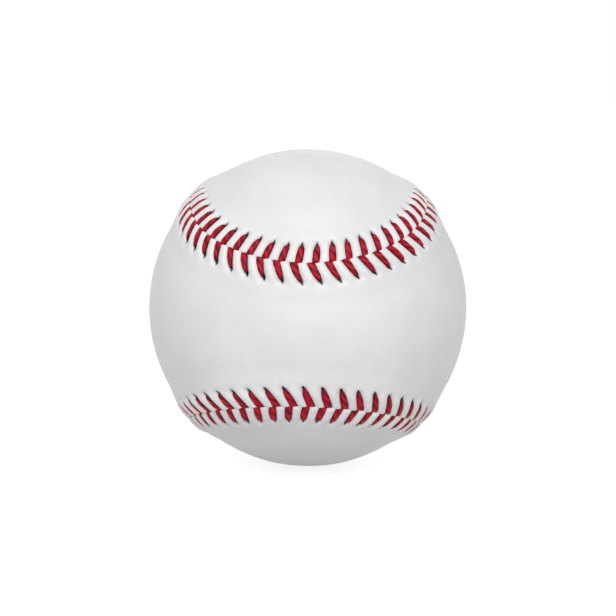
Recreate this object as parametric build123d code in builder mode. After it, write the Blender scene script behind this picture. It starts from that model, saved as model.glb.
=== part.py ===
"""A sewn leather baseball, built in layers from its cork centre out to the stitches.

Sizes are in millimetres. The origin is the centre of the ball and +Z is up. The waist of the front
cover panel faces -Y and its two lobes reach round to -X and +X. The back panel has the same shape,
turned over so that its lobes lie at the top and bottom.
"""

import math
import os

from build123d import *

os.makedirs("parts", exist_ok=True)

# Pill: cork centre, two rubber half shells with a gasket, and the rubber jacket
cork_diameter = 20.6
black_shell_wall = 3.97
gasket_thickness = 0.9
red_jacket_wall = 2.38

# Yarn windings, cement and leather, each laid on the one before
first_winding_wall = 14.67
second_winding_wall = 1.77
third_winding_wall = 2.27
finishing_winding_wall = 0.5
cement_coat_wall = 0.15
leather_thickness = 1.25

# Seam line: width of a panel's waist, sideways swing of the seam, and how far its bends are flattened
waist_width = 32.3
seam_swing = 13.2
bend_flattening = 1.15
seam_gap = 0.45

# Raised lip along each edge of the leather, with a tunnel under it for the hidden thread
seam_lift = 0.7
lip_width = 5.9
lip_slope_width = 3.4

# Stitches: holes along both edges, and how far each leg leans along the seam
stitch_count = 108
first_hole_shift = -0.37
hole_distance = 4.3
hole_diameter = 1.1
front_leg_lean = 1.85
back_leg_lean = 0.65

# Thread: its round size in the holes, the legs that show, and the nip between the leather edges
thread_diameter = 0.75
leg_width = 1.35
leg_height = 0.6
nip_width = 1.05
nip_thickness = 0.33
thread_clearance = 0.05
tail_gap = 2.0

# Radii worked out from the layers
cork_radius = cork_diameter / 2
black_shell_radius = cork_radius + black_shell_wall
pill_radius = black_shell_radius + red_jacket_wall
first_winding_radius = pill_radius + first_winding_wall
second_winding_radius = first_winding_radius + second_winding_wall
third_winding_radius = second_winding_radius + third_winding_wall
finishing_winding_radius = third_winding_radius + finishing_winding_wall
cement_radius = finishing_winding_radius + cement_coat_wall
cover_radius = cement_radius + leather_thickness
lip_inner_radius = cement_radius + seam_lift
lip_outer_radius = cover_radius + seam_lift

# Points that carry each long seam curve, corners of a thread section, and overrun of a cutting face
seam_points = 64
thread_sides = 6
overrun = 0.15


def seam_direction(turn):
    """Direction from the centre to the seam, for turn from 0 to 4 pi along the whole seam."""
    waist_angle = waist_width / 2 / cover_radius
    swing_angle = seam_swing / cover_radius
    flattening_angle = bend_flattening / cover_radius
    latitude = (math.pi / 2 - waist_angle) * math.cos(turn)
    latitude += flattening_angle * (math.cos(turn) - math.cos(3 * turn))
    longitude = turn / 2 + swing_angle * math.sin(2 * turn)
    across = math.cos(latitude)
    return Vector(across * math.sin(longitude), -math.sin(latitude), across * math.cos(longitude))


with BuildLine() as seam_line:
    turns = [4 * math.pi * i / seam_points for i in range(seam_points)]
    Spline(*[seam_direction(turn) * cover_radius for turn in turns], periodic=True)
seam = seam_line.edge()
stitch_pitch = seam.length / stitch_count
stitch_phase = first_hole_shift / stitch_pitch


def seam_frame(place):
    """Outward direction and direction along the seam at a place counted in stitches."""
    share = (place / stitch_count) % 1
    return seam.position_at(share).normalized(), seam.tangent_at(share)


def beside_seam(place, offset, radius):
    """Point beside the seam, offset to the back panel's side, or to the front panel's if negative."""
    up, along = seam_frame(place)
    side = up.cross(along).normalized()
    angle = offset / cover_radius
    return (up * math.cos(angle) + side * math.sin(angle)) * radius


def seam_rail(offset, radius):
    """Closed curve that runs beside the whole seam."""
    places = [stitch_count * i / seam_points for i in range(seam_points)]
    with BuildLine() as rail:
        Spline(*[beside_seam(place, offset, radius) for place in places], periodic=True)
    return rail.edge()


def slope_wall(foot_radius):
    """Slanting face of the front panel's lip, from the field of the panel up to the lip."""
    run_on = overrun * lip_slope_width / seam_lift
    foot = seam_rail(-(lip_width + lip_slope_width + run_on), foot_radius - overrun)
    top = seam_rail(-(lip_width - run_on), foot_radius + seam_lift + overrun)
    return Face.make_surface_from_curves(foot, top)


def layer(outer_radius, inner_radius):
    """Hollow ball between two radii."""
    with BuildPart() as hollow_ball:
        Sphere(outer_radius)
        Sphere(inner_radius, mode=Mode.SUBTRACT)
    return hollow_ball


# Pill
with BuildPart() as cork_centre:
    Sphere(cork_radius)

upper_rim = Plane.XY.offset(gasket_thickness / 2)
lower_rim = Plane.XY.offset(-gasket_thickness / 2)

with BuildPart() as black_shell_top:
    add(layer(black_shell_radius, cork_radius).part)
    split(bisect_by=upper_rim, keep=Keep.TOP)

with BuildPart() as black_shell_bottom:
    add(layer(black_shell_radius, cork_radius).part)
    split(bisect_by=lower_rim, keep=Keep.BOTTOM)

with BuildPart() as shell_gasket:
    add(layer(black_shell_radius, cork_radius).part)
    split(bisect_by=upper_rim, keep=Keep.BOTTOM)
    split(bisect_by=lower_rim, keep=Keep.TOP)

red_jacket = layer(pill_radius, black_shell_radius)

# Windings and cement
first_winding = layer(first_winding_radius, pill_radius)
second_winding = layer(second_winding_radius, first_winding_radius)
third_winding = layer(third_winding_radius, second_winding_radius)
finishing_winding = layer(finishing_winding_radius, third_winding_radius)
cement_coat = layer(cement_radius, finishing_winding_radius)

# Front panel before its holes are punched. Each sphere's own seam is turned away to the back.
facing_back = (0, 0, 90)
edge_wall = Face.make_surface_from_curves(
    seam_rail(-seam_gap / 2, cement_radius - overrun),
    seam_rail(-seam_gap / 2, lip_outer_radius + overrun),
)

with BuildPart() as thick_halves:
    Sphere(lip_outer_radius, rotation=facing_back)
    Sphere(cement_radius, rotation=facing_back, mode=Mode.SUBTRACT)
    split(bisect_by=edge_wall, keep=Keep.ALL)

with BuildPart() as field_relief:
    Sphere(lip_outer_radius + overrun / 2, rotation=facing_back)
    Sphere(cover_radius, rotation=facing_back, mode=Mode.SUBTRACT)
    split(bisect_by=slope_wall(cover_radius), keep=Keep.ALL)

with BuildPart() as thread_tunnel:
    Sphere(lip_inner_radius, rotation=facing_back)
    Sphere(cement_radius - overrun / 2, rotation=facing_back, mode=Mode.SUBTRACT)
    split(bisect_by=slope_wall(cement_radius), keep=Keep.ALL)

with BuildPart() as panel_blank:
    add(thick_halves.solids().sort_by(Axis.Y)[0])
    add(field_relief.solids().sort_by(Axis.Y)[0], mode=Mode.SUBTRACT)
    add(thread_tunnel.solids().sort_by(Axis.Y)[-1], mode=Mode.SUBTRACT)

# Punch for one stitch hole, pointing up from the centre of the ball
with BuildPart() as hole_punch:
    Cylinder(hole_diameter / 2, lip_outer_radius + overrun, align=None)
    Sphere(cement_radius - overrun, mode=Mode.SUBTRACT)


def hole_planes(offset):
    """Planes at the centre of the ball that face out through each stitch hole of a panel."""
    places = [stitch + stitch_phase for stitch in range(stitch_count)]
    return [Plane(origin=(0, 0, 0), z_dir=beside_seam(place, offset, 1)) for place in places]


with BuildPart() as cover_panel_front:
    add(panel_blank.part)
    with Locations(*hole_planes(-hole_distance)):
        add(hole_punch.part, mode=Mode.SUBTRACT)

turn_over = Axis((0, 0, 0), (1, 0, 1))
with BuildPart() as cover_panel_back:
    add(panel_blank.part.rotate(turn_over, 180))
    with Locations(*hole_planes(hole_distance)):
        add(hole_punch.part, mode=Mode.SUBTRACT)

# Sewing threads. A side is the sign of its offset from the seam.
front_side = -1
back_side = 1
leg_lean = {front_side: front_leg_lean / stitch_pitch, back_side: back_leg_lean / stitch_pitch}

# A straight hidden run sinks below its ends, because the ball is round under it
run_sag = (hole_distance**2 + stitch_pitch**2) / 8 / cement_radius
run_height = seam_lift - run_sag - 2 * thread_clearance
run_radius = cement_radius + thread_clearance + run_sag + run_height / 2
hole_top_radius = lip_outer_radius + thread_clearance + thread_diameter / 2
leg_radius = lip_outer_radius + thread_clearance + leg_height / 2
nip_radius = lip_outer_radius + thread_clearance + nip_thickness

# Places on a leg where it is widest, as shares of the way from its hole to the seam
leg_bellies = (0.3, 0.8)

# A section across a square bend is longer by this factor
mitre = math.sqrt(2)


def thread_ring(point, forward, along, width, height):
    """Corners of a flattened section, square to the way forward, with its width along the seam."""
    forward = forward.normalized()
    across = (along - forward * along.dot(forward)).normalized()
    rise = forward.cross(across)
    angles = [2 * math.pi * i / thread_sides for i in range(thread_sides)]
    corners = [across * (width / 2 * math.cos(a)) + rise * (height / 2 * math.sin(a)) for a in angles]
    return [point + corner for corner in corners]


def run_ends(stitch, side):
    """Ends of the hidden run that comes from the seam to the foot of a hole."""
    seam_foot = beside_seam(stitch + 1 + stitch_phase - leg_lean[-side], 0, run_radius)
    hole_foot = beside_seam(stitch + stitch_phase, side * hole_distance, run_radius)
    return seam_foot, hole_foot


def tail_ring(stitch, side, shift):
    """Cut end of a thread, shifted along the hidden run from its middle."""
    seam_foot, hole_foot = run_ends(stitch, side)
    forward = (hole_foot - seam_foot).normalized()
    middle = (seam_foot + hole_foot) / 2
    along = seam_frame(stitch)[1]
    return thread_ring(middle + forward * shift, forward, along, thread_diameter, run_height)


def half_stitch(stitch, side):
    """Sections from the foot of a hole, over the leather to the seam, and down under the other panel."""
    place = stitch + stitch_phase
    landing = place - leg_lean[side]
    offset = side * hole_distance
    hole_along = seam_frame(place)[1]
    seam_up, seam_along = seam_frame(landing)
    hole_up = beside_seam(place, offset, 1)
    run_start, hole_foot = run_ends(stitch, side)
    hole_top = beside_seam(place, offset, hole_top_radius)
    seam_top = beside_seam(landing, 0, nip_radius)
    seam_foot, next_hole = run_ends(stitch - 1, -side)
    run_in = (hole_foot - run_start).normalized()
    leg = (seam_top - hole_top).normalized()
    run_out = (next_hole - seam_foot).normalized()
    bend_height = mitre * nip_thickness
    rings = [
        thread_ring(hole_foot, run_in + hole_up, hole_along, thread_diameter, mitre * run_height),
        thread_ring(hole_top, hole_up + leg, hole_along, thread_diameter, mitre * thread_diameter),
    ]
    for share in leg_bellies:
        belly = beside_seam(place - share * leg_lean[side], (1 - share) * offset, leg_radius)
        rings.append(thread_ring(belly, leg, seam_along, leg_width, leg_height))
    rings.append(thread_ring(seam_top, leg - seam_up, seam_along, nip_width, bend_height))
    rings.append(thread_ring(seam_foot, run_out - seam_up, seam_along, nip_width, bend_height))
    return rings


def sewing_thread(first_side):
    """One unbroken thread that takes every stitch, by turns on the two panels."""
    rings = [tail_ring(0, first_side, tail_gap / 2)]
    side = first_side
    for stitch in range(stitch_count):
        rings += half_stitch(-stitch, side)
        side = -side
    rings.append(tail_ring(-stitch_count, side, -tail_gap / 2))
    faces = [Face(Wire.make_polygon(rings[0])), Face(Wire.make_polygon(rings[-1]))]
    for ring, following in zip(rings, rings[1:]):
        for i in range(thread_sides):
            near = Edge.make_line(ring[i - 1], ring[i])
            far = Edge.make_line(following[i - 1], following[i])
            faces.append(Face.make_surface_from_curves(near, far))
    return Solid(Shell(faces))


with BuildPart() as red_thread_a:
    add(sewing_thread(front_side))

with BuildPart() as red_thread_b:
    add(sewing_thread(back_side))

pieces = {
    "cork_centre": cork_centre,
    "black_shell_top": black_shell_top,
    "black_shell_bottom": black_shell_bottom,
    "shell_gasket": shell_gasket,
    "red_jacket": red_jacket,
    "first_winding": first_winding,
    "second_winding": second_winding,
    "third_winding": third_winding,
    "finishing_winding": finishing_winding,
    "cement_coat": cement_coat,
    "cover_panel_front": cover_panel_front,
    "cover_panel_back": cover_panel_back,
    "red_thread_a": red_thread_a,
    "red_thread_b": red_thread_b,
}
for name, piece in pieces.items():
    piece.part.label = name
    export_step(piece.part, f"parts/{name}.step")
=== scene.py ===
"""A sewn leather baseball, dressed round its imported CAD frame.

Sizes are in millimetres until a mesh is written, which is in metres, in the
frame of the CAD model: the ball's centre is the origin, +Z is up and -Y faces
the camera.
"""
import logging
import math
from collections.abc import Iterator
from contextlib import contextmanager
from dataclasses import astuple, dataclass, field, replace
from enum import Enum
from typing import Any, Optional, Union

import bpy
import numpy as np
from mathutils import Matrix, Vector


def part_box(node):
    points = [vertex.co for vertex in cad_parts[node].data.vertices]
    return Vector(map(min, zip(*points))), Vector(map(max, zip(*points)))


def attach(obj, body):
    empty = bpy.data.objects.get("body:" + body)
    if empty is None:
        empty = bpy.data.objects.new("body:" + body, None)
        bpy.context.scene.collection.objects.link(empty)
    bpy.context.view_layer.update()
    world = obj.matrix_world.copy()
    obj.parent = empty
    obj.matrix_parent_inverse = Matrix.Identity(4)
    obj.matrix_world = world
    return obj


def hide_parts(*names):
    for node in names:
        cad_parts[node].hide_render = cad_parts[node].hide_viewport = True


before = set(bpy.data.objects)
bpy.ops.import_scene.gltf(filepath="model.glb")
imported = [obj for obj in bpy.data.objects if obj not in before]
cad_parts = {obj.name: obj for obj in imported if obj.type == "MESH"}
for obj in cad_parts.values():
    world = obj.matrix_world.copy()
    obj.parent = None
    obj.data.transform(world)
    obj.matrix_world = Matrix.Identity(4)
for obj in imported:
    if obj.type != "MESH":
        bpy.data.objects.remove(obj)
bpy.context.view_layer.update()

LOG = logging.getLogger("baseball")
MM = 0.001
BODY = "root"
WELD = 2e-6
TINY = 1e-6
NO_HOLE = 99.0
FULL_TURN = 2.0 * math.pi
STEP_HASH = 12.9898
WHIM_HASH = 78.233
HASH_GAIN = 43758.5453
PHOTO_SIDE = 616
Array = np.ndarray
Material = bpy.types.Material
Colour = tuple[float, float, float]
Place = tuple[float, float, float]
Span = tuple[float, float]


def smoothstep(low: float, high: float, value: Array) -> Array:
    """Eases from 0 at low to 1 at high.

    Args:
        low: Value at which the step starts.
        high: Value at which the step ends.
        value: Values to ease.

    Returns:
        The eased values, between 0 and 1.
    """
    share = np.clip((np.asarray(value, float) - low) / (high - low), 0.0, 1.0)
    return share * share * (3.0 - 2.0 * share)


def unit(vectors: Array) -> Array:
    """Returns the vectors at length 1."""
    return vectors / np.linalg.norm(vectors, axis=-1, keepdims=True)


def bell(value: Array, power: float = 2.0) -> Array:
    """Returns 1 at 0 and less on both sides, more squarely at a high power."""
    return np.exp(-(np.abs(value) ** power))


def run_length(path: Array) -> Array:
    """Returns how long a path is up to each of its points."""
    steps = np.linalg.norm(np.diff(path, axis=0), axis=1)
    return np.append(0.0, np.cumsum(steps))


def gather(items: Any, key: str, width: int = 1, kind: type = np.float32) -> Array:
    """Reads one property of all items of a mesh.

    Args:
        items: Vertices, edges, corners, faces or the data of a mark.
        key: The property's name.
        width: How many numbers each item has.
        kind: The type of the numbers.

    Returns:
        The numbers, as items by width where there are several.
    """
    values = np.empty(len(items) * width, kind)
    items.foreach_get(key, values)
    return values.reshape(-1, width) if width > 1 else values


class Side(Enum):
    """The leather panel on one side of the seam."""

    FRONT = -1
    BACK = 1


class Layer(Enum):
    """The part of a panel's section that a row of points lies on."""

    FLESH = 0
    EDGE = 1
    GRAIN = 2


class Whim(Enum):
    """What comes out a little different at each stitch."""

    PULL = 1.0
    BOW = 5.0
    WIDTH = 9.0
    RISE = 13.0
    # How dark the painted shade at a thread's ends comes out.
    PAINTED_SHADE = 17.0
    HOLE_ALONG = 21.0
    HOLE_AWAY = 27.0


class Pick(Enum):
    """What is selected while a mesh is edited."""

    POINTS = "VERT"
    EDGES = "EDGE"
    FACES = "FACE"


class CellPart(Enum):
    """The part of a cell from which a pattern of cells is measured."""

    CENTRE = "F1"
    RIM = "DISTANCE_TO_EDGE"


@dataclass
class SeamLine:
    """The closed line on the ball where the two leather panels meet.

    Places along it are counted in stitches, from 0 to the stitch count.
    """

    radius: float
    waist_width: float = 32.3
    swing: float = 13.2
    bend_flattening: float = 1.15
    stitches: int = 108
    samples: int = 43200
    probe: float = 1e-4
    pitch: float = field(init=False)

    def __post_init__(self) -> None:
        """Measures the line, so that places are evenly spaced along it."""
        self._turn = np.linspace(0.0, 2.0 * FULL_TURN, self.samples + 1)
        run = run_length(self._direction(self._turn))
        self._place = run / run[-1] * self.stitches
        self.pitch = run[-1] * self.radius / self.stitches

    def _direction(self, turn: Array) -> Array:
        """Gives the direction from the ball's centre to the line.

        Args:
            turn: The line's parameter, two full turns for the whole line.

        Returns:
            Unit vectors.
        """
        top = math.pi / 2 - self.waist_width / 2 / self.radius
        bend = self.bend_flattening / self.radius
        lat = top * np.cos(turn) + bend * (np.cos(turn) - np.cos(3 * turn))
        lon = turn / 2 + self.swing / self.radius * np.sin(2 * turn)
        return np.stack(
            (np.cos(lat) * np.sin(lon), -np.sin(lat), np.cos(lat) * np.cos(lon)), -1
        )

    def axes(self, place: Array) -> tuple[Array, Array, Array]:
        """Gives the line's own axes at some places.

        Args:
            place: Places along the line, in stitches.

        Returns:
            Unit vectors out of the ball, along the line and across it towards
            the back panel.
        """
        turn = np.interp(np.mod(place, self.stitches), self._place, self._turn)
        out = self._direction(turn)
        ahead = self._direction(turn + self.probe) - self._direction(turn - self.probe)
        along = unit(ahead - out * np.sum(ahead * out, -1, keepdims=True))
        return out, along, np.cross(out, along)

    def point(self, place: Array, offset: Array, height: Array) -> Array:
        """Gives points beside the line.

        Args:
            place: Places along the line, in stitches.
            offset: Distance across the line, positive on the back panel.
            height: Height over the bare leather.

        Returns:
            Points in millimetres.
        """
        out, _, across = self.axes(place)
        angle = np.asarray(offset, float)[..., None] / self.radius
        reach = self.radius + np.asarray(height, float)[..., None]
        return (out * np.cos(angle) + across * np.sin(angle)) * reach


@dataclass
class SewingPlan:
    """Where the holes and the legs of the stitches lie beside the seam."""

    seam: SeamLine
    first_hole_shift: float = -0.37
    hole_distance: float = 4.3
    front_lean: float = 1.85
    back_lean: float = 0.65
    play_along: float = 0.2
    play_away: float = 0.24

    @property
    def phase(self) -> float:
        """Place of the first hole, in stitches."""
        return self.first_hole_shift / self.seam.pitch

    def slope(self, side: Side) -> float:
        """Lean of a side's legs, as a share of their reach."""
        lean = self.front_lean if side is Side.FRONT else self.back_lean
        return lean / self.hole_distance

    def nearest_leg(self, place: Array, across: Array, side: Side) -> tuple[Array, Array]:
        """Finds the leg that lies nearest to each point.

        Args:
            place: Places along the seam, in stitches.
            across: Distance from the seam.
            side: The panel that carries the legs.

        Returns:
            The legs' numbers, and how far the points lie beside the legs'
            middles, in stitches.
        """
        lean = self.slope(side) * (self.hole_distance - across) / self.seam.pitch
        count = place - self.phase + lean
        number = np.round(count)
        return number, count - number

    def hole_shift(self, step: Array, side: Side) -> tuple[Array, Array]:
        """Gives how far each hole was punched from its even place.

        Args:
            step: Stitch numbers.
            side: The panel that has the holes.

        Returns:
            Shift along the seam and away from it, in millimetres.
        """
        along = self.play_along * self.vary(step, Whim.HOLE_ALONG, side)
        return along, self.play_away * self.vary(step, Whim.HOLE_AWAY, side)

    def vary(self, step: Array, whim: Whim, side: Side) -> Array:
        """Gives each stitch its own small change, the same on every run.

        Args:
            step: Stitch numbers.
            whim: What changes.
            side: The panel on which it changes.

        Returns:
            Values between -1 and 1.
        """
        turn = np.mod(np.round(step), self.seam.stitches)
        seed = turn * STEP_HASH + (whim.value + side.value) * WHIM_HASH
        return np.modf(np.sin(seed) * HASH_GAIN)[0]


class Blank:
    """A mesh that starts as grid primitives and is shaped by formula."""

    def __init__(self, name: str) -> None:
        """Sets up an empty blank.

        Args:
            name: Name of the finished piece.
        """
        self.name = name
        self.piece: Optional[bpy.types.Object] = None
        self._points: list[Array] = []
        self._marks: dict[str, list[Array]] = {}

    @contextmanager
    def editing(self, pick: Pick) -> Iterator[None]:
        """Opens the mesh for editing, and closes it afterwards.

        Args:
            pick: What is selected meanwhile.

        Yields:
            Nothing, while the mesh is open.
        """
        bpy.ops.object.mode_set(mode="EDIT")
        bpy.ops.mesh.select_mode(type=pick.value)
        yield
        bpy.ops.object.mode_set(mode="OBJECT")

    def add_grid(self, points: Array, **marks: Array) -> None:
        """Adds a grid and notes where its points go.

        Args:
            points: Points in millimetres, as rows by columns by 3.
            marks: Values by name for every point, as rows by columns.
        """
        rows, columns = points.shape[:2]
        if self.piece is None:
            bpy.ops.object.select_all(action="DESELECT")
        else:
            bpy.ops.object.mode_set(mode="EDIT")
        bpy.ops.mesh.primitive_grid_add(
            x_subdivisions=columns - 1, y_subdivisions=rows - 1, size=2.0
        )
        bpy.ops.object.mode_set(mode="OBJECT")
        if self.piece is None:
            self.piece = bpy.context.object
            self.piece.name = self.piece.data.name = self.name
        self._points.append(points.reshape(-1, 3))
        for key, values in marks.items():
            self._marks.setdefault(key, []).append(np.ravel(values))

    def shape(self) -> None:
        """Moves the grids' points to their places and writes their marks."""
        mesh = self.piece.data
        mesh.vertices.foreach_set("co", np.concatenate(self._points).ravel() * MM)
        for key, parts in self._marks.items():
            layer = mesh.attributes.new(key, "FLOAT", "POINT")
            layer.data.foreach_set("value", np.concatenate(parts).astype(np.float32))
        mesh.update()

    def read(self, key: str) -> Array:
        """Returns a mark's value at every vertex of the mesh as it is now."""
        return gather(self.piece.data.attributes[key].data, "value")

    def select(self, vertices: Array) -> None:
        """Selects vertices, with the open edges that they bound.

        Args:
            vertices: True for each vertex to select.
        """
        mesh = self.piece.data
        ends = gather(mesh.edges, "vertices", 2, np.int32)
        corners = gather(mesh.loops, "edge_index", kind=np.int32)
        rim = np.bincount(corners, minlength=len(mesh.edges)) == 1
        mesh.vertices.foreach_set("select", vertices)
        mesh.edges.foreach_set("select", vertices[ends].all(axis=1) & rim)
        mesh.polygons.foreach_set("select", np.zeros(len(mesh.polygons), bool))

    def punch(self, vertices: Array) -> None:
        """Deletes vertices and the faces round them.

        Args:
            vertices: True for each vertex to delete.
        """
        self.select(vertices)
        with self.editing(Pick.POINTS):
            bpy.ops.mesh.delete(type="VERT")

    def draw_rims(self, rims: Array, radius: float, **marks: float) -> Array:
        """Extrudes open edges straight towards the ball's centre.

        Args:
            rims: True for each vertex on an open edge to extrude.
            radius: Distance from the centre at which the new edge ends.
            marks: Values that the new points get.

        Returns:
            True for each vertex of the new edge.
        """
        mesh = self.piece.data
        self.select(rims)
        with self.editing(Pick.EDGES):
            bpy.ops.mesh.extrude_edges_move()
        fresh = gather(mesh.vertices, "select", kind=bool)
        points = gather(mesh.vertices, "co", 3).astype(float)
        points[fresh] = unit(points[fresh]) * radius * MM
        mesh.vertices.foreach_set("co", points.ravel())
        for key, value in marks.items():
            values = self.read(key)
            values[fresh] = value
            mesh.attributes[key].data.foreach_set("value", values)
        return fresh

    def weld(self, fill: bool = False) -> None:
        """Merges points that meet, and turns the faces outwards.

        Args:
            fill: Whether open ends get a face.
        """
        with self.editing(Pick.POINTS):
            bpy.ops.mesh.select_all(action="SELECT")
            bpy.ops.mesh.remove_doubles(threshold=WELD)
            if fill:
                bpy.ops.mesh.fill_holes(sides=0)
                bpy.ops.mesh.select_all(action="SELECT")
            bpy.ops.mesh.normals_make_consistent(inside=False)

    def turn_cavity(self, radius: float) -> None:
        """Turns the faces round a hollow towards the ball's centre.

        Args:
            radius: Distance from the centre that the hollow's wall keeps within.
        """
        mesh = self.piece.data
        centres = gather(mesh.polygons, "center", 3)
        near = np.linalg.norm(centres, axis=1) < radius * MM
        with self.editing(Pick.FACES):
            bpy.ops.mesh.select_all(action="DESELECT")
        mesh.polygons.foreach_set("select", near)
        with self.editing(Pick.FACES):
            bpy.ops.mesh.flip_normals()

    def finish(self, slot: str, material: Material, *nodes: str) -> None:
        """Smooths, dresses and seats the finished piece.

        Args:
            slot: The record's material slot; not used.
            material: The finish.
            nodes: CAD nodes that the piece stands for.
        """
        bpy.ops.object.select_all(action="DESELECT")
        self.piece.select_set(True)
        bpy.context.view_layer.objects.active = self.piece
        bpy.ops.object.shade_smooth()
        self.piece.data.materials.clear()
        self.piece.data.materials.append(material)
        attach(self.piece, BODY)
        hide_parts(*nodes)
        LOG.info("%s: %d faces", self.name, len(self.piece.data.polygons))


Term = Union["Value", float]
Paint = Union["Value", Colour]


class Value:
    """A node's output that takes part in Python arithmetic."""

    def __init__(self, bench: "FinishBench", socket: Optional[bpy.types.NodeSocket]) -> None:
        """Wraps a socket.

        Args:
            bench: The bench whose material holds the node.
            socket: The node's output, or none on a closing node.
        """
        self.bench = bench
        self.socket = socket

    def _math(self, operation: str, *terms: Term) -> "Value":
        """Returns a Math node's result."""
        return self.bench.node(
            "ShaderNodeMath", {"operation": operation}, dict(enumerate(terms))
        )

    def __add__(self, other: Term) -> "Value":
        """Adds."""
        return self._math("ADD", self, other)

    __radd__ = __add__

    def __mul__(self, other: Term) -> "Value":
        """Multiplies."""
        return self._math("MULTIPLY", self, other)

    __rmul__ = __mul__

    def __sub__(self, other: Term) -> "Value":
        """Subtracts."""
        return self._math("SUBTRACT", self, other)

    def __rsub__(self, other: Term) -> "Value":
        """Subtracts from a number."""
        return self._math("SUBTRACT", other, self)

    def sine(self) -> "Value":
        """Takes the sine."""
        return self._math("SINE", self)

    def cosine(self) -> "Value":
        """Takes the cosine."""
        return self._math("COSINE", self)

    def ease(self, low: float, high: float) -> "Value":
        """Eases from 0 at low to 1 at high."""
        return self.bench.node(
            "ShaderNodeMapRange",
            {"interpolation_type": "SMOOTHSTEP"},
            {"Value": self, "From Min": low, "From Max": high},
        )


class FinishBench:
    """Builds the nodes of one material, or of the world."""

    def __init__(self, owner: Union[Material, bpy.types.World]) -> None:
        """Clears the owner's nodes.

        Args:
            owner: The material or world that gets the nodes.
        """
        self.owner = owner
        owner.use_nodes = True
        self.tree = owner.node_tree
        self.tree.nodes.clear()

    @classmethod
    def start(cls, name: str) -> "FinishBench":
        """Starts an empty material of that name."""
        return cls(bpy.data.materials.new(name))

    def node(
        self,
        kind: str,
        settings: Optional[dict[str, Any]] = None,
        inputs: Optional[dict[Union[str, int], Any]] = None,
        output: Union[str, int] = 0,
    ) -> Value:
        """Adds a node.

        Args:
            kind: The node's type.
            settings: Its properties, which are set first.
            inputs: Values or links by socket.
            output: The output that is wanted.

        Returns:
            That output.
        """
        made = self.tree.nodes.new(kind)
        for key, setting in (settings or {}).items():
            setattr(made, key, setting)
        for key, entry in (inputs or {}).items():
            if isinstance(entry, Value):
                self.tree.links.new(entry.socket, made.inputs[key])
            else:
                made.inputs[key].default_value = entry
        return Value(self, made.outputs[output] if made.outputs else None)

    def seen(self) -> Value:
        """Returns 1 for what the camera sees, also in a mirror or through glass."""
        camera, glossy, through = (
            self.node("ShaderNodeLightPath", output=f"Is {kind} Ray")
            for kind in ("Camera", "Glossy", "Transmission")
        )
        return (camera + glossy + through).ease(0.0, 1.0)

    def place(self) -> Value:
        """Returns the Object coordinates."""
        return self.node("ShaderNodeTexCoord", output="Object")

    def mark(self, key: str) -> Value:
        """Returns a mark that the mesh carries."""
        return self.node("ShaderNodeAttribute", {"attribute_name": key}, output="Fac")

    def noise(self, vector: Value, scale: float, detail: float) -> Value:
        """Returns a noise value about 0.5."""
        sockets = {"Vector": vector, "Scale": scale, "Detail": detail}
        return self.node("ShaderNodeTexNoise", None, sockets)

    def cells(self, vector: Value, scale: float, part: CellPart) -> Value:
        """Returns the distance within a pattern of cells."""
        sockets = {"Vector": vector, "Scale": scale}
        return self.node("ShaderNodeTexVoronoi", {"feature": part.value}, sockets, "Distance")

    def vector(self, x: Term, y: Term, z: Term) -> Value:
        """Joins three values to a vector."""
        return self.node("ShaderNodeCombineXYZ", None, {0: x, 1: y, 2: z})

    def blend(self, share: Term, low: Paint, high: Paint) -> Value:
        """Mixes two colours.

        Args:
            share: How much of the second there is.
            low: The first colour, or a link.
            high: The second colour, or a link.

        Returns:
            The mixed colour.
        """
        low, high = (c if isinstance(c, Value) else (*c, 1.0) for c in (low, high))
        sockets = {0: share, 6: low, 7: high}
        return self.node("ShaderNodeMix", {"data_type": "RGBA"}, sockets, 2)

    def bump(self, height: Value, strength: float, depth: float) -> Value:
        """Returns a normal from heights.

        Args:
            height: Height as a share of the depth.
            strength: How strongly it shows.
            depth: The full height in millimetres.

        Returns:
            The normal.
        """
        sockets = {"Strength": strength, "Distance": depth * MM, "Height": height}
        return self.node("ShaderNodeBump", None, sockets)

    def surface(self, **inputs: Any) -> Material:
        """Closes the material with one shader.

        Args:
            inputs: The shader's sockets, with _ for a space.

        Returns:
            The material.
        """
        sockets = {key.replace("_", " "): value for key, value in inputs.items()}
        shader = self.node("ShaderNodeBsdfPrincipled", None, sockets)
        self.node("ShaderNodeOutputMaterial", None, {"Surface": shader})
        return self.owner


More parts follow.
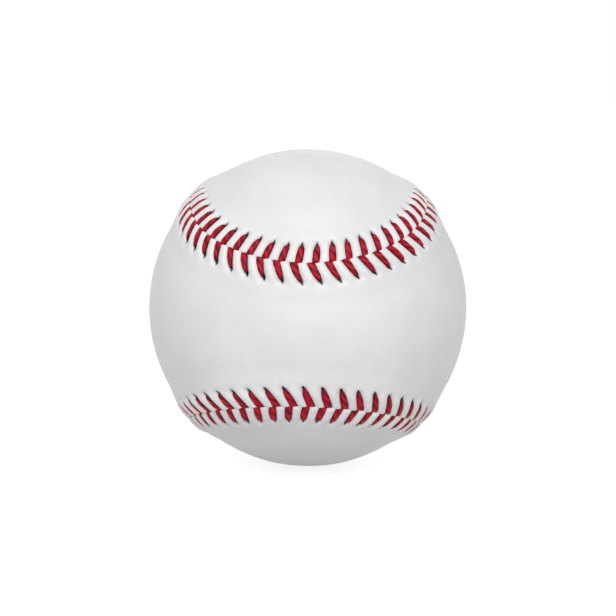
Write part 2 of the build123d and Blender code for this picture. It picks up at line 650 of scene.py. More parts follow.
@dataclass(frozen=True)
class LeatherFinish:
    """White alum-tanned leather with a fine grain, and painted shade that darkens its holes
    and folds.
    """

    colour: Colour = (0.845, 0.84, 0.852)
    # For the leather, this soiled colour is only its own mottled tone.
    soil_and_painted_shade: Colour = (0.79, 0.785, 0.79)
    hollow: Colour = (0.1, 0.1, 0.095)
    roughness: float = 0.39
    roughness_play: float = 0.16
    cloud_scale: float = 70.0
    fibre_scale: float = 1500.0
    pore_scale: float = 2300.0
    crease_scale: float = 1250.0
    soil_span: Span = (0.35, 0.7)
    pore_span: Span = (0.0, 0.45)
    crease_span: Span = (0.0, 0.16)
    hollow_span: Span = (0.02, 1.0)
    grain_depth: float = 0.05

    def material(self) -> Material:
        """Builds the material from the leather's place and its painted shade mark.

        Returns:
            The material.
        """
        bench = FinishBench.start("white_leather")
        place = bench.place()
        hollow = bench.mark("hollow")
        cloud = bench.noise(place, self.cloud_scale, 3.0)
        fine = bench.noise(place, self.fibre_scale, 3.0)
        pores = bench.cells(place, self.pore_scale, CellPart.CENTRE)
        creases = bench.cells(place, self.crease_scale, CellPart.RIM)
        clean = (cloud * 0.7 + fine * 0.3).ease(*self.soil_span)
        hide = bench.blend(clean, self.soil_and_painted_shade, self.colour)
        height = pores.ease(*self.pore_span) * 0.35 + fine * 0.3
        height = height + creases.ease(*self.crease_span) * 0.45
        # The recess mark paints shade: the leather darkens towards near black in its holes,
        # its seam fold and under its threads.
        return bench.surface(
            Base_Color=bench.blend(hollow.ease(*self.hollow_span), hide, self.hollow),
            Roughness=fine * self.roughness_play + self.roughness + hollow * 0.3,
            Normal=bench.bump(height, 0.4, self.grain_depth),
            Coat_Weight=0.06,
            Coat_Roughness=0.35,
        )


@dataclass(frozen=True)
class StrandFinish:
    """Twisted yarn or thread, whose fibres follow its lay.

    The flanks are painted darker, as shade, because the strand turns away there.
    """

    name: str
    colour: Colour
    shade: Colour
    # Colour of the painted shade where the strand lies deep: in a hole, down in the seam and
    # under later turns.
    tip: Colour
    lay: float
    fibre: float
    stretch: float
    roughness: float
    gloss: float
    fuzz: float = 0.0
    roughness_play: float = 0.2
    plies: int = 3
    ply_share: float = 0.2
    light_span: Span = (0.28, 0.68)
    flank_span: Span = (0.09, 0.8)
    flank_shade: float = 0.93
    lay_depth: float = 0.09

    def material(self) -> Material:
        """Builds the material from the mesh's own marks.

        Returns:
            The material.
        """
        bench = FinishBench.start(self.name)
        around = bench.node("ShaderNodeUVMap")
        turn = bench.node("ShaderNodeSeparateXYZ", None, {0: around}, "Y")
        run = bench.mark("run")
        angle = (turn - run * (1.0 / self.lay)) * FULL_TURN
        lengthwise = bench.vector(
            angle.cosine() * self.fibre, angle.sine() * self.fibre, run * self.stretch
        )
        fibres = bench.noise(lengthwise, 1.0, 4.0)
        # Painted shade between the plies: their crowns are lighter and the grooves darker.
        # The fibre noise is the yarn's own tone.
        lobe = (angle * (self.plies / 2.0)).cosine()
        ply = lobe * lobe
        light = fibres * (1.0 - self.ply_share) + ply * self.ply_share
        # Painted shade: the flanks blend towards the shade colour.
        flank = (turn * FULL_TURN).cosine()
        shaded = (flank * flank).ease(*self.flank_span) * self.flank_shade
        light = light.ease(*self.light_span) * (1.0 - shaded)
        body = bench.blend(light, self.shade, self.colour)
        # Painted shade darkens the strand where it lies deep.
        tip = bench.mark("tip")
        return bench.surface(
            Base_Color=bench.blend(tip, body, self.tip),
            Roughness=fibres * self.roughness_play + self.roughness + tip * 0.2,
            Normal=bench.bump(fibres * 0.6 + ply * 0.4, 0.35, self.lay_depth),
            Specular_IOR_Level=self.gloss,
            Sheen_Weight=self.fuzz,
            Sheen_Roughness=0.5,
        )


@dataclass(frozen=True)
class RubberFinish:
    """Moulded rubber with a matt, slightly pitted skin."""

    name: str
    colour: Colour
    bloom: Colour
    dust_scale: float = 240.0
    pit_scale: float = 1700.0
    pit_depth: float = 0.06

    def material(self) -> Material:
        """Builds the material.

        Returns:
            The material.
        """
        bench = FinishBench.start(self.name)
        place = bench.place()
        dust = bench.noise(place, self.dust_scale, 5.0)
        pits = bench.cells(place, self.pit_scale, CellPart.CENTRE).ease(0.0, 0.3)
        return bench.surface(
            Base_Color=bench.blend(dust.ease(0.45, 0.8), self.colour, self.bloom),
            Roughness=dust * 0.25 + 0.5,
            Normal=bench.bump(pits * 0.5 + dust * 0.5, 0.3, self.pit_depth),
        )


@dataclass(frozen=True)
class CorkFinish:
    """Pressed cork granules bound with rubber."""

    pale: Colour = (0.52, 0.32, 0.17)
    dark: Colour = (0.24, 0.12, 0.06)
    binder: Colour = (0.06, 0.035, 0.025)
    grain_scale: float = 900.0
    chip_scale: float = 620.0
    gap_depth: float = 0.12

    def material(self) -> Material:
        """Builds the material.

        Returns:
            The material.
        """
        bench = FinishBench.start("cork")
        place = bench.place()
        grain = bench.noise(place, self.grain_scale, 4.0)
        gaps = bench.cells(place, self.chip_scale, CellPart.RIM).ease(0.0, 0.12)
        chips = bench.blend(grain.ease(0.35, 0.65), self.dark, self.pale)
        return bench.surface(
            Base_Color=bench.blend(gaps, self.binder, chips),
            Roughness=grain * 0.2 + 0.7,
            Normal=bench.bump(gaps * 0.7 + grain * 0.3, 0.5, self.gap_depth),
        )


@dataclass(frozen=True)
class CementFinish:
    """A thin film of dried rubber cement."""

    colour: Colour = (0.7, 0.62, 0.42)
    thick: Colour = (0.52, 0.42, 0.24)
    run_scale: float = 130.0
    brush_scale: float = 700.0
    brush_depth: float = 0.08

    def material(self) -> Material:
        """Builds the material.

        Returns:
            The material.
        """
        bench = FinishBench.start("cement")
        place = bench.place()
        runs = bench.noise(place, self.run_scale, 4.0)
        brush = bench.noise(place, self.brush_scale, 2.0)
        return bench.surface(
            Base_Color=bench.blend(runs.ease(0.4, 0.7), self.colour, self.thick),
            Roughness=brush * 0.2 + 0.3,
            Normal=bench.bump(brush * 0.6 + runs * 0.4, 0.4, self.brush_depth),
        )


# How often each wave rises along X, Y and Z, and its phase.
SWELLING_WAVES = (
    (7.1, 3.3, 0.0, 1.1),
    (0.0, 6.3, -5.2, 0.4),
    (4.1, 0.0, 8.7, 2.3),
    (13.0, -9.0, 11.0, 0.0),
)


@dataclass
class CoverPanel:
    """One figure-eight leather panel, with its raised lip and sewing holes.

    A span says where a change starts and ends, counted from the seam, but
    puff_side counts from a leg's middle, in stitches, and edge_heights are two
    rows on the cut edge. Shades are values of the painted shade mark, which
    darkens the leather where shade falls, from 0 in the open to 1 inside a hole.
    """

    plan: SewingPlan
    side: Side
    inner_radius: float
    columns_per_stitch: int = 14
    middle_stride: int = 6
    middle_rows: int = 32
    middle_columns: int = 94
    relax_rounds: int = 400
    reach: float = 9.6
    edge_heights: Span = (-0.32, -0.1)
    edge_gap: float = 0.004
    edge_fade: float = 1.2
    edge_roll: float = 0.1
    edge_roll_width: float = 0.42
    edge_shade: float = 0.15
    nip_depth: float = 0.15
    nip_width: float = 0.55
    lip_lift: float = 0.56
    lip_slope: Span = (4.6, 9.4)
    tunnel_lift: float = 0.7
    tunnel_end: Span = (5.4, 6.6)
    pull_play: float = 0.16
    groove_depth: float = 0.28
    groove_width: float = 0.74
    groove_end: Span = (3.8, 5.1)
    puff_lift: float = 0.54
    puff_side: Span = (0.1, 0.42)
    puff_start: Span = (-2.2, 0.6)
    puff_end: Span = (2.9, 5.7)
    hole_centre: float = 4.2
    hole_half_width: float = 0.29
    hole_half_length: float = 0.68
    hole_row: float = 0.27
    hole_steps: int = 2
    hole_taper: float = 0.35
    hole_pull: float = 2.3
    wall_step: float = 0.45
    rim_sink: float = 0.2
    rim_shade: float = 0.6
    dimple_depth: float = 0.26
    dimple_half_width: float = 0.8
    dimple_half_length: float = 0.95
    swell: float = 0.0175
    swell_start: Span = (2.0, 6.0)
    seam_shade: float = 0.04
    seam_shade_width: float = 0.2
    thread_shade: float = 0.3
    thread_shade_width: float = 0.6
    thread_shade_power: float = 4.0
    thread_shade_end: Span = (4.1, 4.7)

    @property
    def name(self) -> str:
        """Name of the finished piece."""
        return f"leather_panel_{self.side.name.lower()}"

    def section(self) -> list[tuple[Layer, float]]:
        """Lists the rows of the panel's section.

        Returns:
            Layer and distance from the edge, or height on the edge, from the
            flesh side's middle round the sewn edge to the grain side's middle.
        """
        steps = range(-self.hole_steps, self.hole_steps + 1)
        holes = [self.hole_centre + self.hole_row * step for step in steps]
        flesh = [self.reach, 7.6, 6.6, 5.7, *holes[::-1], 3.0, 2.2, 1.3, 0.6, 0.15, 0]
        near = [0, 0.05, 0.12, 0.22, 0.36, 0.54, 0.76, 1.0, 1.28, 1.58, 1.88, 2.18]
        far = [2.48, 2.78, 3.08, 3.38, *holes, 5.05, 5.4, 5.8, 6.3, 7.0, 7.8, 8.7]
        rows = [(Layer.FLESH, row) for row in flesh]
        rows += [(Layer.EDGE, height) for height in self.edge_heights]
        rows += [(Layer.GRAIN, row) for row in (*near, *far, self.reach)]
        return rows

    def swelling(self, direction: Array) -> Array:
        """Gives the slight unevenness of the stuffed leather.

        Args:
            direction: Unit vectors from the ball's centre.

        Returns:
            Heights in millimetres.
        """
        waves = (np.sin(direction @ wave[:3] + wave[3]) for wave in SWELLING_WAVES)
        return self.swell * sum(waves)

    def grain_height(self, place: Array, across: Array) -> Array:
        """Gives the grain side's height over bare leather.

        Args:
            place: Places along the seam, in stitches.
            across: Distance from the seam.

        Returns:
            Heights in millimetres.
        """
        plan, pitch = self.plan, self.plan.seam.pitch
        leg, beside = plan.nearest_leg(place, across, self.side)
        pull = 1.0 + self.pull_play * plan.vary(leg, Whim.PULL, self.side)
        lip = self.lip_lift * (1.0 - smoothstep(*self.lip_slope, across))
        groove = self.groove_depth * pull * bell(beside * pitch / self.groove_width)
        groove = groove * (1.0 - smoothstep(*self.groove_end, across))
        puff = self.puff_lift * pull * smoothstep(*self.puff_side, np.abs(beside))
        puff = puff * smoothstep(*self.puff_start, across)
        puff = puff * (1.0 - smoothstep(*self.puff_end, across))
        roll = self.edge_roll * bell(across / self.edge_roll_width)
        hole = (np.mod(place - plan.phase + 0.5, 1.0) - 0.5) * pitch
        dimple = self.dimple_depth * bell(hole / self.dimple_half_width)
        dimple = dimple * bell((across - self.hole_centre) / self.dimple_half_length)
        return lip - groove + puff - roll - dimple

    def hollowness(self, place: Array, across: Array) -> Array:
        """Gives the painted shade on the grain side, in the seam's fold and under a thread.

        Args:
            place: Places along the seam, in stitches.
            across: Distance from the seam.

        Returns:
            Values of the painted shade mark.
        """
        _, beside = self.plan.nearest_leg(place, across, self.side)
        aside = beside * self.plan.seam.pitch / self.thread_shade_width
        under = self.thread_shade * bell(aside, self.thread_shade_power)
        under = under * (1.0 - smoothstep(*self.thread_shade_end, across))
        return self.seam_shade * bell(across / self.seam_shade_width) + under

    def edge(self, place: Array) -> Array:
        """Gives how far the edge keeps from the seam's middle.

        Args:
            place: Places along the seam, in stitches.

        Returns:
            Distances in millimetres, larger where a thread goes down.
        """
        gap = np.full_like(place, self.edge_gap)
        for side in Side:
            _, beside = self.plan.nearest_leg(place, np.zeros_like(place), side)
            gap += self.nip_depth * bell(beside * self.plan.seam.pitch / self.nip_width)
        return gap

    def open_holes(self, row: Array, column: Array, cut: Array) -> tuple[Array, Array, Array]:
        """Bends the border's grid so that its lines run round the holes.

        Args:
            row: Distance from the seam.
            column: Column of the grid.
            cut: True for the rows on the cut edge, which has no holes.

        Returns:
            Places along the seam in stitches, distances from it, and ring
            numbers, which are 1 on a hole's rim and less inside it.
        """
        plan, per, stride = self.plan, self.columns_per_stitch, self.middle_stride
        snapped = stride * ((column + stride // 2) // stride)
        place = plan.phase + np.where(row >= self.reach, snapped, column) / per
        stitch = np.floor_divide(column + per // 2, per)
        x = (column - stitch * per) / self.hole_steps
        y = (row - self.hole_centre) / (self.hole_steps * self.hole_row)
        ring = np.where(cut, NO_HOLE, np.maximum(np.abs(x), np.abs(y)))
        # The grid's square rings become slits that lean as the legs do.
        a, b = x / np.maximum(ring, TINY), y / np.maximum(ring, TINY)
        round_y = b * np.sqrt(1.0 - a * a / 2.0) * ring * self.hole_half_length
        round_x = a * np.sqrt(1.0 - b * b / 2.0) * ring * self.hole_half_width
        round_x = round_x * (1.0 - self.hole_taper * b)
        along, away = plan.hole_shift(stitch, self.side)
        round_x = round_x + plan.slope(self.side) * round_y + along
        share = 1.0 - smoothstep(1.0, self.hole_pull, ring)
        hole_place = plan.phase + stitch + round_x / plan.seam.pitch
        hole_row = self.hole_centre + (round_y + away)
        place = place * (1.0 - share) + hole_place * share
        return place, row * (1.0 - share) + hole_row * share, ring

    def border(self) -> dict[str, Array]:
        """Lays out the sewn border, from flesh side to grain side.

        Returns:
            Points and marks of the grid, and which points the holes replace.
        """
        seam, section = self.plan.seam, self.section()
        layer = np.array([row[0].value for row in section])[:, None]
        size = np.array([row[1] for row in section])[:, None]
        cut, outer = layer == Layer.EDGE.value, layer == Layer.GRAIN.value
        column = np.arange(self.columns_per_stitch * seam.stitches + 1)[None, :]
        row, column = np.broadcast_arrays(np.where(cut, 0.0, size), column)
        place, row, ring = self.open_holes(row, column, cut)
        across = row + self.edge(place) * (1.0 - smoothstep(0.0, self.edge_fade, row))
        rim = np.isclose(ring, 1.0)
        tunnel = self.tunnel_lift * (1.0 - smoothstep(*self.tunnel_end, across))
        flesh = self.inner_radius - seam.radius + tunnel
        grain = self.grain_height(place, across) - self.rim_sink * rim
        height = np.where(cut, size, np.where(outer, grain, flesh))
        points = seam.point(place, self.side.value * across, height)
        swell = self.swelling(unit(points)) * smoothstep(*self.swell_start, across)
        points = points + unit(points) * np.where(outer, swell, 0.0)[..., None]
        # The mark paints shade: the seam's fold, the leather under the threads, the holes'
        # rims and the cut edge are painted darker.
        hollow = np.where(outer, self.hollowness(place, across), 0.0)
        hollow = np.where(rim & outer, self.rim_shade, hollow)
        return {
            "points": points,
            "hollow": np.where(cut, self.edge_shade, hollow),
            "rim": (rim & outer).astype(float),
            "hole": (ring < 1.0) & ~rim,
        }

    def middle(self) -> Array:
        """Lays out the plain middle of the panel.

        Returns:
            Unit vectors of an even grid that fills the border's inner line.
        """
        plan, seam = self.plan, self.plan.seam
        count = self.columns_per_stitch * seam.stitches // self.middle_stride
        wide, tall = self.middle_columns, self.middle_rows
        start = -wide // 2 + (count // 4 if self.side is Side.BACK else 0)
        ring = (start + np.arange(count)) * self.middle_stride / self.columns_per_stitch
        offset = np.full(count, self.side.value * self.reach)
        line = unit(seam.point(plan.phase + ring, offset, np.zeros(count)))
        line = np.append(line, line[:1], axis=0)
        low, right = line[: wide + 1], line[wide : wide + tall + 1]
        high = line[wide + tall : 2 * wide + tall + 1][::-1]
        left = line[2 * wide + tall :][::-1]
        u = np.linspace(0.0, 1.0, wide + 1)[None, :, None]
        v = np.linspace(0.0, 1.0, tall + 1)[:, None, None]
        # The four sides are joined to a patch, whose points are then evened out.
        grid = (1 - v) * low[None] + v * high[None]
        grid = grid + (1 - u) * left[:, None] + u * right[:, None]
        grid = grid - (1 - u) * (1 - v) * low[0] - u * (1 - v) * low[-1]
        grid = grid - (1 - u) * v * high[0] - u * v * high[-1]
        grid = unit(grid)
        for _ in range(self.relax_rounds):
            around = grid[:-2, 1:-1] + grid[2:, 1:-1] + grid[1:-1, :-2] + grid[1:-1, 2:]
            grid[1:-1, 1:-1] = unit(around)
        return grid

    def build(self, material: Material) -> bpy.types.Object:
        """Makes the panel.

        Args:
            material: The leather.

        Returns:
            The finished piece.
        """
        border, middle = self.border(), self.middle()
        radius = self.plan.seam.radius
        outer = middle * (radius + self.swelling(middle))[..., None]
        blank = Blank(self.name)
        blank.add_grid(border["points"], hollow=border["hollow"], rim=border["rim"])
        plain = np.zeros(middle.shape[:2])
        for points in (outer, middle * self.inner_radius):
            blank.add_grid(points, hollow=plain, rim=plain)
        blank.shape()
        dropped = np.zeros(len(blank.piece.data.vertices), bool)
        dropped[: border["hole"].size] = border["hole"].ravel()
        blank.punch(dropped)
        blank.weld()
        flesh = self.inner_radius + self.tunnel_lift
        rims = blank.read("rim") > 0.5
        # The holes' walls are painted fully dark, as shade.
        rims = blank.draw_rims(rims, flesh + self.wall_step, hollow=1.0, rim=0.0)
        blank.draw_rims(rims, flesh, hollow=1.0)
        blank.weld()
        blank.finish("white_leather", material, f"cover_panel_{self.side.name.lower()}")
        return blank.piece


@dataclass(frozen=True)
class ThreadStop:
    """One point of a half stitch, from its hole over the leather to the seam.

    The shade mark is 1 where the thread is painted dark as shade, in its hole or down in the
    seam.
    """

    across: float
    height: float
    half_width: float
    half_height: float
    tip: float


HALF_STITCH = (
    ThreadStop(4.02, -0.92, 0.24, 0.26, 1.0),
    ThreadStop(4.02, -0.45, 0.24, 0.27, 1.0),
    ThreadStop(3.98, 0.02, 0.33, 0.30, 0.85),
    ThreadStop(3.80, 0.31, 0.53, 0.33, 0.55),
    ThreadStop(3.35, 0.46, 0.75, 0.37, 0.15),
    ThreadStop(2.55, 0.57, 0.86, 0.40, 0.0),
    ThreadStop(1.60, 0.60, 0.87, 0.40, 0.0),
    ThreadStop(0.85, 0.57, 0.83, 0.37, 0.0),
    ThreadStop(0.32, 0.48, 0.77, 0.31, 0.03),
    ThreadStop(-0.02, 0.23, 0.72, 0.22, 0.25),
    ThreadStop(-0.12, -0.36, 0.58, 0.16, 0.85),
    ThreadStop(-0.36, -0.78, 0.46, 0.20, 1.0),
    ThreadStop(-1.20, -0.90, 0.38, 0.27, 1.0),
)


@dataclass
class SewingThread:
    """One of the two red threads, unbroken through all its stitches."""

    plan: SewingPlan
    letter: str
    first_side: Side
    spans: int = 2
    sides: int = 16
    plies: int = 3
    lay: float = 6.5
    ply_depth: float = 0.09
    front_flare: float = 0.66
    front_flare_shift: float = -0.16
    back_flare: float = 0.3
    back_flare_shift: float = 0.5
    flare_start: float = -0.2
    flare_power: int = 4
    bow: float = 0.2
    width_play: float = 0.13
    painted_shade_play: float = 0.6
    rise_play: float = 0.03
    riding_height: float = 0.43

    @property
    def name(self) -> str:
        """Name of the finished piece."""
        return f"sewing_thread_{self.letter}"

    def half_stitch(self, number: int, side: Side) -> Array:
        """Lays one half stitch over its panel.

        Args:
            number: The stitch's number along the thread.
            side: The panel.

        Returns:
            Place, offset, height, half width, half height and painted shade, by stop.
        """
        plan, reach, step = self.plan, self.plan.hole_distance, -number
        stops = np.array([astuple(stop) for stop in HALF_STITCH])
        across, height, wide, high, tip = stops.T
        lean = plan.slope(side) * np.clip(reach - across, 0.0, reach)
        bow = self.bow * plan.vary(step, Whim.BOW, side) * np.sin(np.pi * across / reach)
        along, away = plan.hole_shift(step, side)
        out = np.clip(across / reach, 0.0, 1.0)
        sway = np.where(across > 0, bow, 0.0) + along * out
        across = across + away * out**2
        flare, shift = self.front_flare, self.front_flare_shift
        if side is Side.BACK:
            flare, shift = self.back_flare, self.back_flare_shift
        near = np.where(across > self.flare_start, 1.0 - across / reach, 0.0)
        flare = flare * near**self.flare_power
        full = 1.0 + flare + self.width_play * plan.vary(step, Whim.WIDTH, side)
        # The painted shade at the ends varies a little from stitch to stitch.
        soil_and_painted_shade = tip * (1.0 + self.painted_shade_play * plan.vary(step, Whim.PAINTED_SHADE, side))
        rise = self.rise_play * plan.vary(step, Whim.RISE, side)
        return np.column_stack(
            (
                plan.phase + step + (sway - lean - shift * flare) / plan.seam.pitch,
                side.value * across,
                height + rise * (height > self.riding_height),
                wide * full,
                high,
                np.clip(soil_and_painted_shade, 0.0, 1.0),
            )
        )

    def stops(self) -> Array:
        """Lists the thread's stops through all its stitches.

        Returns:
            The half stitches' values, one after another on either panel.
        """
        first = self.first_side.value
        return np.concatenate(
            [
                self.half_stitch(number, Side(first * (-1) ** number))
                for number in range(self.plan.seam.stitches)
            ]
        )

    def smooth(self, stops: Array) -> Array:
        """Draws an even curve through the stops.

        Args:
            stops: Values by stop.

        Returns:
            Values by ring of the tube.
        """
        before = np.vstack((stops[:1], stops[:-2]))
        after = np.vstack((stops[2:], stops[-1:]))
        start, end = stops[:-1], stops[1:]
        rings = []
        for step in range(self.spans):
            t = step / self.spans
            rings.append(
                start
                + 0.5 * t * (end - before)
                + t * t * (before - 2.5 * start + 2.0 * end - 0.5 * after)
                + t**3 * (1.5 * (start - end) + 0.5 * (after - before))
            )
        curve = np.stack(rings, axis=1).reshape(-1, stops.shape[1])
        return np.vstack((curve, stops[-1:]))

    def build(self, material: Material) -> bpy.types.Object:
        """Makes the thread.

        Args:
            material: The red thread's finish.

        Returns:
            The finished piece.
        """
        place, offset, height, wide, high, tip = self.smooth(self.stops()).T
        seam = self.plan.seam
        path = seam.point(place, offset, height)
        _, along, _ = seam.axes(place)
        ahead = unit(np.gradient(path, axis=0))
        up = unit(np.cross(along, ahead))
        run = run_length(path)
        blank = Blank(self.name)
        angle = np.linspace(0.0, FULL_TURN, self.sides + 1)[:, None]
        twist = angle - FULL_TURN * run[None, :] / self.lay
        ply = np.abs(np.cos(self.plies / 2.0 * twist))
        swell = 1.0 - self.ply_depth * (1.0 - ply)
        across = (wide * np.cos(angle) * swell)[..., None] * along[None]
        out = (high * np.sin(angle) * swell)[..., None] * up[None]
        shape = np.ones_like(angle)
        tube = path[None] + across + out
        blank.add_grid(tube, run=shape * run * MM, tip=shape * tip)
        blank.shape()
        blank.weld(fill=True)
        blank.finish("red_thread", material, f"red_thread_{self.letter}")
        return blank.piece


@dataclass
class YarnWinding:
    """A winding: one yarn laid round the ball, each turn higher than the last.

    Where it is thick, its lower layers are one mass under the turns, painted dark as shade.
    """

    node: str
    inner: float
    outer: float
    yarn: float
    turns: int
    steps: int = 72
    sides: int = 6
    drift: float = 29.0
    tilt_turns: float = 23.7
    thickest: float = 2.4
    globe_rows: int = 32
    globe_columns: int = 64

    @property
    def bed(self) -> float:
        """Radius on which the lowest turn lies."""
        return max(self.inner, self.outer - self.thickest * self.yarn)

    def course(self) -> Array:
        """Gives the way that the yarn takes round the ball.

        Returns:
            Unit vectors: great circles whose tilt and bearing keep drifting.
        """
        turn = np.arange(self.turns * self.steps + 1) / self.steps
        sweep = turn / self.tilt_turns
        tilt = np.arccos(2.0 * np.abs(sweep - np.round(sweep)))
        bearing = np.radians(self.drift) * turn
        around = FULL_TURN * turn
        x, y = np.cos(around), np.sin(around) * np.cos(tilt)
        return np.stack(
            (
                x * np.cos(bearing) - y * np.sin(bearing),
                x * np.sin(bearing) + y * np.cos(bearing),
                np.sin(around) * np.sin(tilt),
            ),
            -1,
        )

    def globe(self, radius: float) -> Array:
        """Gives a ball's points, from pole to pole.

        Args:
            radius: The ball's radius.

        Returns:
            Points in millimetres, as rows by columns by 3.
        """
        lat = np.linspace(0.0, np.pi, self.globe_rows + 1)[:, None]
        lon = np.linspace(0.0, FULL_TURN, self.globe_columns + 1)[None, :]
        ring = np.sin(lat)
        point = (ring * np.cos(lon), ring * np.sin(lon), np.cos(lat) + 0.0 * lon)
        return radius * np.stack(point, -1)

    def build(self, slot: str, material: Material) -> bpy.types.Object:
        """Makes the winding.

        Args:
            slot: The record's material slot.
            material: The yarn's finish.

        Returns:
            The finished piece.
        """
        out = self.course()
        half = self.yarn / 2.0
        height = np.linspace(self.bed + half, self.outer - half, len(out))
        path = out * height[:, None]
        run = run_length(path)
        across = unit(np.cross(np.gradient(path, axis=0), out))
        angle = np.linspace(0.0, FULL_TURN, self.sides + 1)[:, None, None]
        tube = path[None] + half * (np.cos(angle) * across + np.sin(angle) * out)
        shape = np.ones((self.sides + 1, 1))
        blank = Blank(f"{self.node}_yarn")
        # The yarn has no painted shade; the mass under the turns is painted fully dark, as
        # shade.
        blank.add_grid(tube, run=shape * run * MM, tip=shape * 0.0 * run)
        if self.bed > self.inner:
            for radius in (self.bed + half, self.inner):
                globe = self.globe(radius)
                deep = np.ones(globe.shape[:2])
                blank.add_grid(globe, run=0.0 * deep, tip=deep)
        blank.shape()
        blank.weld(fill=True)
        if self.bed > self.inner:
            blank.turn_cavity((self.inner + self.bed) / 2.0)
        blank.finish(slot, material, self.node)
        return blank.piece


@dataclass(frozen=True)
class SoftBox:
    """A square lamp that faces the ball, in metres and watts."""

    name: str
    place: Place
    side: float
    power: float
    shine: bool

    def hang(self) -> None:
        """Hangs the lamp, which glossy surfaces reflect only if it has a shine."""
        bpy.ops.object.light_add(type="AREA", location=self.place)
        lamp = bpy.context.object
        lamp.name = self.name
        lamp.data.size = self.side
        lamp.data.energy = self.power
        lamp.visible_glossy = self.shine
        lamp.rotation_mode = "QUATERNION"
        lamp.rotation_quaternion = Vector(self.place).to_track_quat("Z", "Y")


@dataclass
class Studio:
    """The floor, the lights and the camera, in metres, degrees and pixels."""

    floor_height: float
    floor_side: float = 60.0
    paper: Colour = (0.6, 0.6, 0.6)
    paper_seen: Colour = (0.34, 0.34, 0.34)
    paper_glow: float = 0.84
    sky: float = 0.49
    lamps: tuple[SoftBox, ...] = (
        SoftBox("key_box", (0.0, -0.9, 0.66), 1.0, 8.2, shine=True),
        SoftBox("back_box", (0.0, 1.0, 0.22), 0.4, 4.0, shine=False),
    )
    azimuth: float = 1.78
    elevation: float = 10.2
    roll: float = 0.81
    distance: float = 0.4471
    lens_mm: float = 110.9
    sensor_mm: float = 36.0
    shift_pixels: Span = (0.3, -0.6)
    clip: Span = (0.01, 50.0)

    def lay_floor(self) -> None:
        """Lays a plain pale floor that shows white but keeps the shadow."""
        bpy.ops.object.select_all(action="DESELECT")
        place = (0.0, 0.0, self.floor_height)
        bpy.ops.mesh.primitive_plane_add(size=self.floor_side, location=place)
        floor = bpy.context.object
        floor.name = "floor"
        bpy.ops.object.transform_apply(location=True, rotation=False, scale=False)
        bench = FinishBench.start("floor_paper")
        seen = bench.seen()
        paper = bench.blend(seen, self.paper, self.paper_seen)
        matt = bench.node("ShaderNodeBsdfDiffuse", None, {"Color": paper})
        glow = bench.node("ShaderNodeEmission", None, {"Strength": seen * self.paper_glow})
        both = bench.node("ShaderNodeAddShader", None, {0: matt, 1: glow})
        bench.node("ShaderNodeOutputMaterial", None, {"Surface": both})
        floor.data.materials.append(bench.owner)

    def light(self) -> None:
        """Lights the ball softly from all round, from the front and from behind."""
        world = bpy.data.worlds.new("studio")
        bpy.context.scene.world = world
        bench = FinishBench(world)
        strength = bench.seen() * (1.0 - self.sky) + self.sky
        sockets = {"Color": (1.0, 1.0, 1.0, 1.0), "Strength": strength}
        sky = bench.node("ShaderNodeBackground", None, sockets)
        bench.node("ShaderNodeOutputWorld", None, {"Surface": sky})
        for lamp in self.lamps:
            lamp.hang()

    def set_camera(self) -> None:
        """Sets the camera at the photograph's viewing angle."""
        turn = Matrix.Rotation(math.radians(self.azimuth), 4, "Z")
        turn = turn @ Matrix.Rotation(math.radians(90.0 - self.elevation), 4, "X")
        turn = turn @ Matrix.Rotation(math.radians(self.roll), 4, "Z")
        bpy.ops.object.camera_add()
        camera = bpy.context.object
        camera.name = "camera"
        camera.matrix_world = turn @ Matrix.Translation((0.0, 0.0, self.distance))
        camera.data.sensor_width = self.sensor_mm
        camera.data.lens = self.lens_mm
        camera.data.shift_x, camera.data.shift_y = (
            pixels / PHOTO_SIDE for pixels in self.shift_pixels
        )
        camera.data.clip_start, camera.data.clip_end = self.clip
        bpy.context.scene.camera = camera


def dress_node(node: str, material: Material) -> None:
    """Gives a CAD node that stays its finish.

    Args:
        node: The node's name.
        material: Its finish.
    """
    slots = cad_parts[node].data.materials
    slots.clear()
    slots.append(material)
    LOG.info("%s: dressed", node)


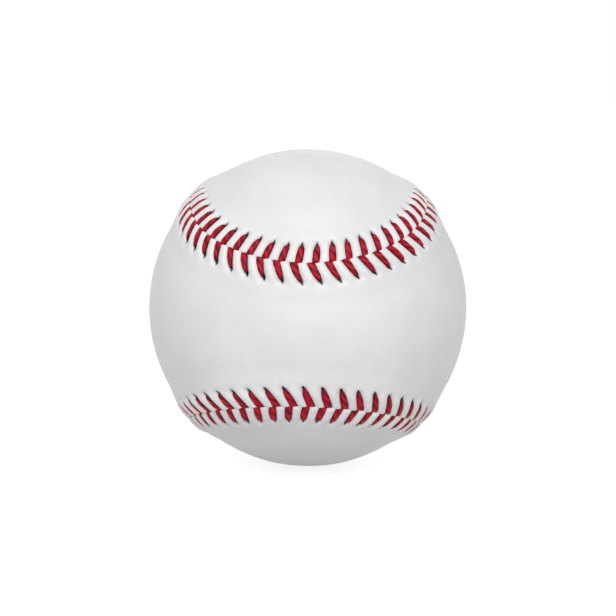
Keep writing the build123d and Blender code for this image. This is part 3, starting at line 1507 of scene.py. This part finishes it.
def wind_yarns() -> None:
    """Lays the four windings over the red jacket, from the inside out."""
    grey = StrandFinish(
        "grey_wool",
        colour=(0.42, 0.42, 0.44),
        shade=(0.22, 0.22, 0.23),
        tip=(0.12, 0.12, 0.125),
        lay=0.009,
        fibre=2.5,
        stretch=500.0,
        roughness=0.75,
        gloss=0.1,
        fuzz=0.4,
    )
    white = replace(
        grey,
        name="white_wool",
        colour=(0.84, 0.81, 0.74),
        shade=(0.58, 0.55, 0.48),
        tip=(0.4, 0.38, 0.33),
    )
    cotton = replace(white, name="cotton_yarn", colour=(0.87, 0.86, 0.82), lay=0.004)
    finishes = {yarn.name: yarn.material() for yarn in (grey, white, cotton)}
    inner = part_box("red_jacket")[1].x / MM
    for node, slot, yarn, turns, sides in (
        ("first_winding", "grey_wool", 1.12, 110, 6),
        ("second_winding", "white_wool", 0.85, 150, 6),
        ("third_winding", "grey_wool", 0.94, 150, 6),
        ("finishing_winding", "cotton_yarn", 0.27, 270, 4),
    ):
        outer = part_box(node)[1].x / MM
        winding = YarnWinding(node, inner, outer, yarn, turns, sides=sides)
        winding.build(slot, finishes[slot])
        inner = outer


def main() -> None:
    """Builds the ball from its pill to its stitches, then the studio."""
    logging.basicConfig(level=logging.INFO, format="%(name)s %(message)s")
    bpy.context.scene.view_settings.view_transform = "Standard"
    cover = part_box("cover_panel_front")[1].x / MM
    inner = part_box("cement_coat")[1].x / MM
    plan = SewingPlan(SeamLine(cover))
    leather = LeatherFinish().material()
    for side in Side:
        CoverPanel(plan, side, inner).build(leather)
    red = StrandFinish(
        "red_thread",
        colour=(0.7, 0.008, 0.03),
        shade=(0.055, 0.001, 0.005),
        tip=(0.06, 0.003, 0.006),
        lay=0.0065,
        fibre=3.0,
        stretch=420.0,
        roughness=0.4,
        gloss=0.14,
    ).material()
    for letter, side in zip("ab", Side):
        SewingThread(plan, letter, side).build(red)
    wind_yarns()
    black = RubberFinish("black_rubber", (0.02, 0.02, 0.022), (0.05, 0.05, 0.05))
    red_rubber = RubberFinish("red_rubber", (0.45, 0.05, 0.04), (0.5, 0.12, 0.1))
    for finish, nodes in (
        (CorkFinish(), ("cork_centre",)),
        (black, ("black_shell_top", "black_shell_bottom")),
        (red_rubber, ("shell_gasket", "red_jacket")),
        (CementFinish(), ("cement_coat",)),
    ):
        material = finish.material()
        for node in nodes:
            dress_node(node, material)
    studio = Studio(-cover * MM)
    studio.lay_floor()
    studio.light()
    studio.set_camera()


if __name__ == "__main__":
    main()
